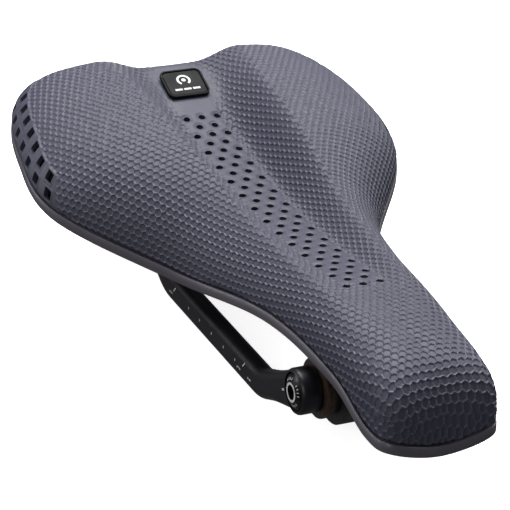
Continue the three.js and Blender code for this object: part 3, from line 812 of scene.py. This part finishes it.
def shell_rows(t):
    """The shell's section on the right, from the spine over its top, round the band and back below."""
    u = np.linspace(0, 1, 40) ** 0.7
    top = layer_point(t[:, None], u, inset=SHELL_INSET["top"], lift=-SEAM, shell=True)
    low = -SEAM - SHELL_BAND
    corner = [(0.7, -SEAM), (0.6, -0.72), (0.4, -0.62), (0.1, -0.65), (-0.15, -0.9),
              (-0.25, (low - SEAM) / 2), (-0.2, low + 0.7), (-0.02, low + 0.3), (0.35, low + 0.06),
              (0.8, low), (2.2, low), (2.75, low + 0.25)]
    band = np.stack([beside_edge(t, d, lift) for d, lift in corner], axis=1)
    under = shell_underside(t, 60)
    return np.concatenate([top, band, under], axis=1), under


def shell_underside(t, count, below=0.0):
    """The shell's hollow side from edge to spine, or a surface so far below it."""
    u = np.linspace(1, 0, count) ** 0.7
    return layer_point(t[:, None], u, inset=SHELL_INSET["under"] + below, lift=-SEAM - SHELL_THICK - below,
                       drop=SHELL_THICK + below, shell=True)


def shell_ribs(under):
    """How far the underside's ribs stand down: one along the rim and a row across the wings."""
    x, y = under[..., 0], np.abs(under[..., 1])
    reach = np.linalg.norm(under - under[:, :1], axis=2)
    rim = 1 - rising(np.abs(reach - RIB["rim"]), 0.5, 0.5)
    place = (x - RIB["first"]) / RIB["pitch"]
    cross = 1 - rising(np.abs(place - np.round(place)) * RIB["pitch"], 0.4, 0.5)
    cross *= rising(reach, RIB["rim"], 1) * rising(y, RIB["inner"], 1)
    cross *= (1 - rising(x, RIB["front"], 2)) * rising(x, RIB["rear"], 2)
    return RIB["tall"] * np.maximum(rim, cross)


def shell_skin():
    rows, under = shell_rows(even_spans(420))
    rows[:, -under.shape[1]:, 2] -= shell_ribs(under)
    finish_piece(make_piece("shell_skin", *closed_skin(rows), 50), SHELL, "top", "shell", "shell")


def above_shell():
    """Solid that fills the space over the shell's underside, to trim what is fastened below it."""
    t = even_spans(160)
    lid = layer_point(t[:, None], np.linspace(0, 1, 12), inset=1, lift=40, drop=-40, shell=True)
    side = beside_edge(t, 2.5, -SEAM - SHELL_BAND - GAP)[:, None]
    return closed_skin(np.concatenate([lid, side, shell_underside(t, 30, GAP)], axis=1))


# -------- the badge
def badge():
    long, wide = BADGE["long"] + 0.8, BADGE["wide"] + 0.8
    bezel, corner = BADGE["bezel"] - 0.4, BADGE["corner"]
    rim = make_piece("badge_frame", *badge_block(long, wide, corner, -0.5, 0.75))
    cut(rim, badge_block(long - 2 * bezel, wide - 2 * bezel, corner - bezel, -1, 2))
    soften(rim, 0.22)
    finish_piece(rim, BADGE_RIM, "top", "trim", "badge_bezel")
    inset = bezel + GAP
    block = badge_block(long - 2 * inset, wide - 2 * inset, corner - inset, -0.5, 0.5)
    face = make_piece("badge_face", *block)
    soften(face, 0.18)
    finish_piece(face, BADGE_FACE, "top", "badge", "badge_plate")
    badge_mark()


def badge_mark():
    """Generic mark in white: an open ring round a dot, over three short bars."""
    z0, z1 = 0.49, 0.54
    centre = [-1.4, 0]
    angle = np.radians(np.linspace(35, 325, 49))
    arc = np.column_stack([np.cos(angle), np.sin(angle)])
    outlines = [np.concatenate([arc * 2.6, arc[::-1] * 1.8]) + centre, circle(0.8, 24) + centre]
    outlines += [rounded_rect(0.9, 2.8, 0.2, 4) + [3.3, y] for y in (-3.4, 0, 3.4)]
    verts, faces = merged([upright(outline, z0, z1) for outline in outlines])
    finish_piece(make_piece("badge_mark", on_badge(verts), faces), PAINT, "top", "badge")


# -------- rails
RAIL_WIDE = 7
RAIL_TALL = 9.6
RAIL_CORNER = 2.6
RAIL_GAUGE = 44
PIVOT = {"x": 62.8, "z": 16.6}
FRONT_BEND = {"x": 35, "radius": 14}
REAR_BEND = {"x": -47.3, "radius": 16, "slope": math.radians(50)}
TAIL = {"z": 28.5, "end": -94, "y": 28, "radius": 12}
EYE = {"radius": 7.5, "y0": 18.6, "y1": 25.6}
HEAD = {"radius": 5.9, "top": 3.2, "base": 24.6, "tip": 26.4, "recess": 6.4, "hex": 4}
HEAD_TICKS = {"near": 4.0, "far": 4.75, "half": 0.13, "count": 24, "group": 6, "shown": 4}
HEAD_CONE = (0.5, 0.92)  # where the head's cone starts: in from its rim, and up from its base
BOLT_RADIUS = 3.2
BOLT_END = -24.3
SPIGOT = {"radius": 4.6, "start": 19, "end": 24.65}
SLEEVE = {"inner": 3.5, "outer": 4.9, "half": 18.2}
BUSH = {"radius": 9.8, "y0": 14.9, "y1": 18.3}
SPACER = {"radius": 8.6, "y0": 13.2, "y1": 14.6}
BRACKET = {"half": 12.9, "radius": 12.5, "rear": 44.5, "front": 83}
SOCKET = {"x0": -103, "x1": -75, "half": 12.4, "floor": 21.4, "roof": 41, "slot": 4.4, "slot_end": -95.5}
CAP = {"top": SOCKET["floor"] - GAP, "thick": 3}
SOCKET_SCREWS = {"rear": 3.6, "front": -83, "apart": 8.4}
SCREW = {"radius": 1.5, "hole": 1.8, "head": 2.9, "tall": 2.4, "key": 1.3, "key_deep": 0.8}
SIDES = (("left", 1), ("right", -1))


def rail_line():
    """Centre line of a rail from its rear end to the eye: x, z and direction."""
    clamp_z = RAIL_TALL / 2
    rise = math.atan2(PIVOT["z"] - clamp_z, PIVOT["x"] - FRONT_BEND["x"])
    top_x = REAR_BEND["x"] - (TAIL["z"] - clamp_z) / math.tan(REAR_BEND["slope"])
    bends = ((top_x, TAIL["z"], TAIL["radius"], 0, -REAR_BEND["slope"]),
             (REAR_BEND["x"], clamp_z, REAR_BEND["radius"], -REAR_BEND["slope"], 0),
             (FRONT_BEND["x"], clamp_z, FRONT_BEND["radius"], 0, rise))
    line = [(TAIL["end"], TAIL["z"], 0)]
    for x, z, radius, start, end in bends:
        tangent = radius * math.tan(abs(end - start) / 2)
        sign = math.copysign(1, end - start)
        x0, z0 = x - tangent * math.cos(start), z - tangent * math.sin(start)
        for turn in np.linspace(start, end, 20):
            line.append((x0 + radius * sign * (math.sin(turn) - math.sin(start)),
                         z0 + radius * sign * (math.cos(start) - math.cos(turn)), turn))
    line.append((PIVOT["x"], PIVOT["z"], rise))
    return evened(np.array(line), 1.2)


def evened(line, step):
    """The same line with stations about step apart."""
    steps = gaps(line[:, :2])
    count = round(float(steps.sum()) / step)
    return np.column_stack([evenly(column, steps, count) for column in line.T])


def rail_side_at(x):
    return RAIL_GAUGE / 2 + (TAIL["y"] - RAIL_GAUGE / 2) * smooth((REAR_BEND["x"] - x) / 30)


def rail_outline(tall):
    """Rounded rectangle with a fine groove low on its outer side; x outwards."""
    outline = rounded_rect(RAIL_WIDE, tall, RAIL_CORNER, 8)
    side, groove = RAIL_WIDE / 2, 2.35 - tall / 2
    notch = [[side - 0.04, groove - 0.3], [side - 0.35, groove], [side, groove + 0.3]]
    return np.concatenate([outline, notch])


def rail_bar(side):
    """The rail's bar, which grows taller over the last stretch to the eye."""
    sections = []
    stretch, extra = 20, 3.4
    for x, z, turn in rail_line():
        tall = RAIL_TALL + extra * rising(x, PIVOT["x"] - stretch, stretch)
        across, up = rail_outline(tall).T
        sections.append(np.column_stack([x - up * math.sin(turn), side * (rail_side_at(x) + across),
                                         z + up * math.cos(turn)]))
    return closed_sweep(np.stack(sections))


def at_pivot(profile, side=1):
    """Solid turned about the cross bolt's axis, from a profile of (radius, y)."""
    verts, faces = turned(profile, 96)
    return verts * [1, side, 1] + [PIVOT["x"], 0, PIVOT["z"]], faces


def both_ends(end, y0, y1):
    """Closed profile whose ends are alike, from one end's points as (radius, depth from that end)."""
    return [(r, y0 + d) for r, d in end] + [(r, y1 - d) for r, d in end[::-1]]


def rod(radius, y0, y1, inner=0):
    """Profile of a plain rod or ring."""
    return both_ends([(inner, 0), (radius, 0)], y0, y1)


def rail(name, side):
    e0, e1, r = EYE["y0"], EYE["y1"], EYE["radius"]
    eye = [(0, e0), (r - 0.9, e0), (r - 0.25, e0 + 0.25), (r, e0 + 0.9), (r, e1 - 1.3), (r - 0.15, e1 - 0.7),
           (r - 0.5, e1 - 0.25), (r - 1.05, e1 - 0.05), (r - 1.1, e1), (0, e1)]
    bore = (SPIGOT["radius"] if side > 0 else BOLT_RADIUS) + GAP
    seat = HEAD["base"] - GAP
    piece = make_piece(f"rail_bar_{name}", *rail_bar(side), 30)
    cut(piece, at_pivot(eye, side), "UNION")
    cut(piece, at_pivot(rod(bore, 10, 30), side))
    cut(piece, at_pivot(rod(HEAD["recess"], seat, 30), side))
    shade(piece, 32)
    finish_piece(piece, RAIL, "rails", "rail", f"rail_{name}")
    rail_print(name, side)


def rail_print(name, side):
    """Setback marks about 10 mm apart along the clamp's reach, their end marks, and plain dashes."""
    face = RAIL_GAUGE / 2 + RAIL_WIDE / 2
    marks = [(x, 5.4, 0.45, 1.0, 0) for x in MARK_X]
    marks += [(-34.7, 6.4, 0.4, 3.0, -0.75), (25, 7.2, 0.4, 3.0, -0.75)]
    marks += [(x, 4.1, 1.1, 0.5, 0) for x in (-38.6, -37.1, 20.3, 21.8, 28.6, 30.1)]
    marks.append((55.3, 13.7, 1.6, 0.7, 0.42))
    parts = []
    for x, z, wide, tall, lean in marks:
        along, up = rounded_rect(wide, tall, 0.15, 2).T
        outline = np.column_stack([x + along * math.cos(lean) - up * math.sin(lean),
                                   z + along * math.sin(lean) + up * math.cos(lean)])
        parts.append(crosswise(outline, side * (face - 0.05), side * (face + 0.03)))
    finish_piece(make_piece(f"rail_print_{name}", *merged(parts)), PAINT, "rails", "rail")


# -------- the cross bolt
def hex_socket(depth, side):
    """Six-sided tool that cuts a key's socket into a head's tip."""
    outline = circle(HEAD["hex"] / math.sqrt(3), 6, math.pi / 6) + [PIVOT["x"], PIVOT["z"]]
    return crosswise(outline, side * (HEAD["tip"] - depth), side * (HEAD["tip"] + 3))


def head_profile():
    r, base, tip, top = HEAD["radius"], HEAD["base"], HEAD["tip"], HEAD["top"]
    return [(r - 0.15, base), (r, base + 0.15), (r, base + 0.42), (r - 0.12, base + 0.7),
            (r - HEAD_CONE[0], base + HEAD_CONE[1]), (top + 0.25, tip - 0.06), (top, tip), (0, tip)]


def cross_bolt():
    b, end, bevel = BOLT_RADIUS, BOLT_END, 0.4
    shaft = [(0, end), (b - bevel, end), (b, end + bevel), (b, HEAD["base"])]
    bolt = make_piece("cross_bolt", *at_pivot(shaft + head_profile(), -1), 28)
    cut(bolt, hex_socket(1.9, -1))
    shade(bolt, 28)
    finish_piece(bolt, BOLT, "rails", "bolt", "pivot_bolt")
    r, start, end = SPIGOT["radius"], SPIGOT["start"], SPIGOT["end"]
    spigot = [(0, end), (b + GAP, end), (b + GAP, start), (r, start), (r, HEAD["base"])]
    nut = make_piece("cross_nut", *at_pivot(spigot + head_profile()), 28)
    cut(nut, hex_socket(1.2, 1))
    shade(nut, 28)
    finish_piece(nut, BOLT, "rails", "bolt", "pivot_nut")
    for name, side in SIDES:
        bolt_print(name, side)
        hub(name, side)
    tube = tube_profile(SLEEVE["inner"], SLEEVE["outer"], -SLEEVE["half"], SLEEVE["half"], 0.3)
    finish_piece(make_piece("pivot_tube", *at_pivot(tube), 25), STEEL, "rails", "steel", "pivot_sleeve")


def bolt_print(name, side):
    """White ring round the key's socket, and groups of radial ticks on the head's cone."""
    tip, top = HEAD["tip"], HEAD["top"]
    parts = [at_pivot(rod(3.2, tip - 0.03, tip + 0.03, 2.45), side)]
    slope = (HEAD["base"] + HEAD_CONE[1] - tip) / (HEAD["radius"] - HEAD_CONE[0] - top)
    near, far, wide = HEAD_TICKS["near"], HEAD_TICKS["far"], HEAD_TICKS["half"]
    r, w = np.array([(near, -wide), (near, wide), (far, wide), (far, -wide)]).T
    for k in range(HEAD_TICKS["count"]):
        if k % HEAD_TICKS["group"] >= HEAD_TICKS["shown"]:
            continue
        turn = 2 * math.pi * (k + 0.5) / HEAD_TICKS["count"]
        x = PIVOT["x"] + r * math.cos(turn) - w * math.sin(turn)
        z = PIVOT["z"] + r * math.sin(turn) + w * math.cos(turn)
        cone = tip + slope * (r - top)
        layers = [np.column_stack([x, side * (cone + lift), z]) for lift in (-0.02, 0.05)]
        parts.append(closed_sweep(np.stack(layers)))
    finish_piece(make_piece(f"bolt_print_{name}", *merged(parts)), PAINT, "rails", "bolt")


def tube_profile(inner, outer, y0, y1, edge):
    """Profile of a tube whose outer edges are rounded."""
    less = edge * 0.3
    return both_ends([(inner, 0), (outer - edge, 0), (outer - less, less), (outer, edge)], y0, y1)


def hub(name, side):
    """Elastomer bush against the rail's eye, and the dark spacer between it and the bracket."""
    r, y0, y1 = BUSH["radius"], BUSH["y0"], BUSH["y1"]
    bore = SLEEVE["outer"] + GAP
    middle = (y1 - y0) / 2
    end = [(bore, 0), (r - 0.5, 0), (r - 0.12, 0.14), (r, 0.5), (r, middle - 0.35), (r - 0.3, middle - 0.15)]
    bush = make_piece(f"pivot_bush_{name}", *at_pivot(both_ends(end, y0, y1), side), 40)
    finish_piece(bush, RUBBER, "rails", "elastomer", f"bush_{name}")
    ring = tube_profile(bore, SPACER["radius"], SPACER["y0"], SPACER["y1"], 0.2)
    spacer = make_piece(f"pivot_spacer_{name}", *at_pivot(ring, side), 25)
    finish_piece(spacer, TRIM, "top", "trim", f"spacer_{name}")


# -------- bracket, sockets and screws
def drill(piece, radius, places, z0, z1):
    """Cuts an upright round hole at each place."""
    for place in places:
        cut(piece, upright(circle(radius, 40) + place, z0, z1))


def nose_bracket():
    """Block under the nose that turns on the cross bolt."""
    px, pz, r = PIVOT["x"], PIVOT["z"], BRACKET["radius"]
    rear, front, top = BRACKET["rear"], BRACKET["front"], 60
    angle = np.linspace(math.pi, 1.8 * math.pi, 60)
    arc = np.column_stack([px + r * np.cos(angle), pz + r * np.sin(angle)])
    ends = [[front, 19], [front, top], [rear, top], [rear, 24], [px - r, 19]]
    block = crosswise(np.concatenate([arc, ends]), -BRACKET["half"], BRACKET["half"])
    piece = make_piece("bracket_block", *block)
    cut(piece, above_shell())
    cut(piece, at_pivot(rod(SLEEVE["outer"] + GAP, -20, 20)))
    for place in BRACKET_SCREWS:
        drill(piece, SCREW["head"] + GAP, [place], 0, bracket_seat(place[0]))
        drill(piece, SCREW["hole"], [place], 0, 60)
    soften(piece, 0.5, 3, 40)
    shade(piece, 30)
    finish_piece(piece, TRIM, "top", "trim", "nose_bracket")
    for k, (x, y) in enumerate(BRACKET_SCREWS, 1):
        screw(f"bracket_screw_head_{k}", x, y, bracket_seat(x), f"bracket_screw_{k}")


def bracket_seat(x):
    """Height at which a screw's head meets the bracket: higher behind the bolt than before it."""
    return 27.5 if x < PIVOT["x"] else 24


def screw(name, x, y, seat, node):
    """Round-headed screw with a key's socket; its tip is where the CAD's is."""
    head, r = SCREW["head"], SCREW["radius"]
    low = seat - SCREW["tall"]
    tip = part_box(node)[1].z / MM
    profile = [(0, low), (head - 0.9, low), (head - 0.3, low + 0.35), (head, low + 1),
               (head, seat - GAP), (r, seat - GAP), (r, tip - 0.5), (r - 0.5, tip), (0, tip)]
    verts, faces = turned(profile, 48)
    piece = make_piece(name, verts[:, [0, 2, 1]] + [x, y, 0], faces, 28)
    cut(piece, upright(circle(SCREW["key"], 6) + [x, y], low - 1, low + SCREW["key_deep"]))
    shade(piece, 28)
    finish_piece(piece, STEEL, "top", "steel", node)


def plate(x0, x1, middle, half, z0, z1, corner):
    """Upright block with a rounded plan."""
    outline = rounded_rect(x1 - x0, 2 * half, corner, 8) + [(x0 + x1) / 2, middle]
    return upright(outline, z0, z1)


def rear_socket(name, side):
    """The block that holds a rail's rear end, its lid, their screws and the elastomer inside."""
    x0, x1, half, floor = SOCKET["x0"], SOCKET["x1"], SOCKET["half"], SOCKET["floor"]
    y = side * TAIL["y"]
    piece = make_piece(f"socket_block_{name}", *plate(x0, x1, y, half, floor, 70, 3))
    cut(piece, above_shell())
    cut(piece, plate(SOCKET["slot_end"], x1 + 5, y, SOCKET["slot"], floor - 5, SOCKET["roof"], 0.6))
    front, apart = SOCKET_SCREWS["front"], SOCKET_SCREWS["apart"]
    places = [(x0 + SOCKET_SCREWS["rear"], y), (front, y + side * apart), (front, y - side * apart)]
    drill(piece, SCREW["hole"], places, 0, 80)
    soften(piece, 0.4, 2, 40)
    shade(piece, 30)
    finish_piece(piece, SHELL, "top", "shell", f"rear_socket_{name}")
    seat = CAP["top"] - CAP["thick"]
    lid = make_piece(f"socket_lid_{name}", *plate(x0, x1, y, half, seat, CAP["top"], 3))
    drill(lid, SCREW["hole"], places, 0, 80)
    soften(lid, 0.5, 3, 40)
    shade(lid, 30)
    finish_piece(lid, SHELL, "top", "shell", f"socket_cap_{name}")
    for k, place in enumerate(places, 1):
        screw(f"socket_screw_{name}_head_{k}", *place, seat, f"socket_screw_{name}_{k}")
    damper(f"damper_{name}", f"rear_damper_{name}", True)
    damper(f"rebound_{name}", f"rebound_pad_{name}", False)


def damper(name, node, squashes):
    """Elastomer block with grooves round its sides; one that squashes gets a mesh of its own."""
    (x0, y0, z0), (x1, y1, z1) = (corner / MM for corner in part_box(node))
    grooves = 3 if squashes else 1
    rows = []
    count = 12 * grooves
    for k in range(count + 1):
        share = k / count
        waist = DAMPER_GROOVE * (1 - math.cos(2 * math.pi * grooves * share)) / 2
        inset = waist + (DAMPER_GROOVE if k in (0, count) else 0)
        outline = rounded_rect(x1 - x0 - 2 * inset, y1 - y0 - 2 * inset, 1.5, 6)
        outline += [(x0 + x1) / 2, (y0 + y1) / 2]
        rows.append(np.column_stack([outline, np.full(len(outline), z0 + (z1 - z0) * share)]))
    piece = make_piece(name, *closed_sweep(np.stack(rows)), 40)
    finish_piece(piece, RUBBER, "rails" if squashes else "top", "elastomer", node)
    if squashes:
        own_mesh(piece)


# -------- stage, light and camera
def stage_floor():
    look = Look("floor_pale", Roughness=0.9)
    look.set("Base Color", look.ramp(look.noise(60), (0.86, 0.86, 0.87), (0.9, 0.9, 0.9)))
    look.set("Emission Color", (1, 1, 1, 1))
    look.set("Emission Strength", FLOOR_GLOW)
    half, low = 4000, -0.1
    corners = [[-half, -half, low], [half, -half, low], [half, half, low], [-half, half, low]]
    piece = make_piece("floor", corners, [(0, 1, 2, 3)])
    piece.data.materials.append(look.material)
    piece.visible_diffuse = False
    piece.visible_glossy = False


def world():
    """White to the camera, and dim and even as a light."""
    space = bpy.data.worlds.new("studio")
    bpy.context.scene.world = space
    space.use_nodes = True
    nodes, links = space.node_tree.nodes, space.node_tree.links
    seen, lit = nodes["Background"], nodes.new("ShaderNodeBackground")
    for light in (seen, lit):
        light.inputs["Color"].default_value = (1, 1, 1, 1)
    lit.inputs["Strength"].default_value = WORLD_LIGHT
    ray = nodes.new("ShaderNodeLightPath")
    mix = nodes.new("ShaderNodeMixShader")
    links.new(ray.outputs["Is Camera Ray"], mix.inputs[0])
    links.new(lit.outputs[0], mix.inputs[1])
    links.new(seen.outputs[0], mix.inputs[2])
    links.new(mix.outputs[0], nodes["World Output"].inputs["Surface"])


def softbox(name, place, target, wide, tall, power):
    light = bpy.data.lights.new(name, "AREA")
    light.shape = "RECTANGLE"
    light.size, light.size_y = wide * MM, tall * MM
    light.energy = power
    lamp = linked(name, light)
    lamp.location = Vector(place) * MM
    lamp.rotation_euler = (Vector(place) - Vector(target)).to_track_quat("Z", "Y").to_euler()


def camera():
    a, e, roll = (math.radians(CAMERA[k]) for k in ("azimuth", "elevation", "roll"))
    back = Vector((math.cos(e) * math.cos(a), math.cos(e) * math.sin(a), math.sin(e)))
    level = Vector((-math.sin(a), math.cos(a), 0))
    up = back.cross(level)
    right = level * math.cos(roll) + up * math.sin(roll)
    up = back.cross(right)
    lens = bpy.data.cameras.new("camera")
    lens.lens = CAMERA["lens"]
    lens.sensor_width = 36
    lens.clip_start, lens.clip_end = 0.01, 20
    eye = linked("camera", lens)
    turn = Matrix((right, up, back)).transposed()
    place = (Vector(CAMERA["aim"]) + back * CAMERA["distance"]) * MM
    eye.matrix_world = Matrix.Translation(place) @ turn.to_4x4()
    bpy.context.scene.camera = eye


bpy.context.scene.view_settings.view_transform = "Standard"
camera()
world()
stage_floor()
for lamp in LAMPS:
    softbox(*lamp)

WINDOW_FRAMES = list(window_frames())
cover_skin()
foam_core()
liners()
seam_ring()
shell_skin()
badge()
for side_name, side_sign in SIDES:
    rail(side_name, side_sign)
    rear_socket(side_name, side_sign)
cross_bolt()
nose_bracket()
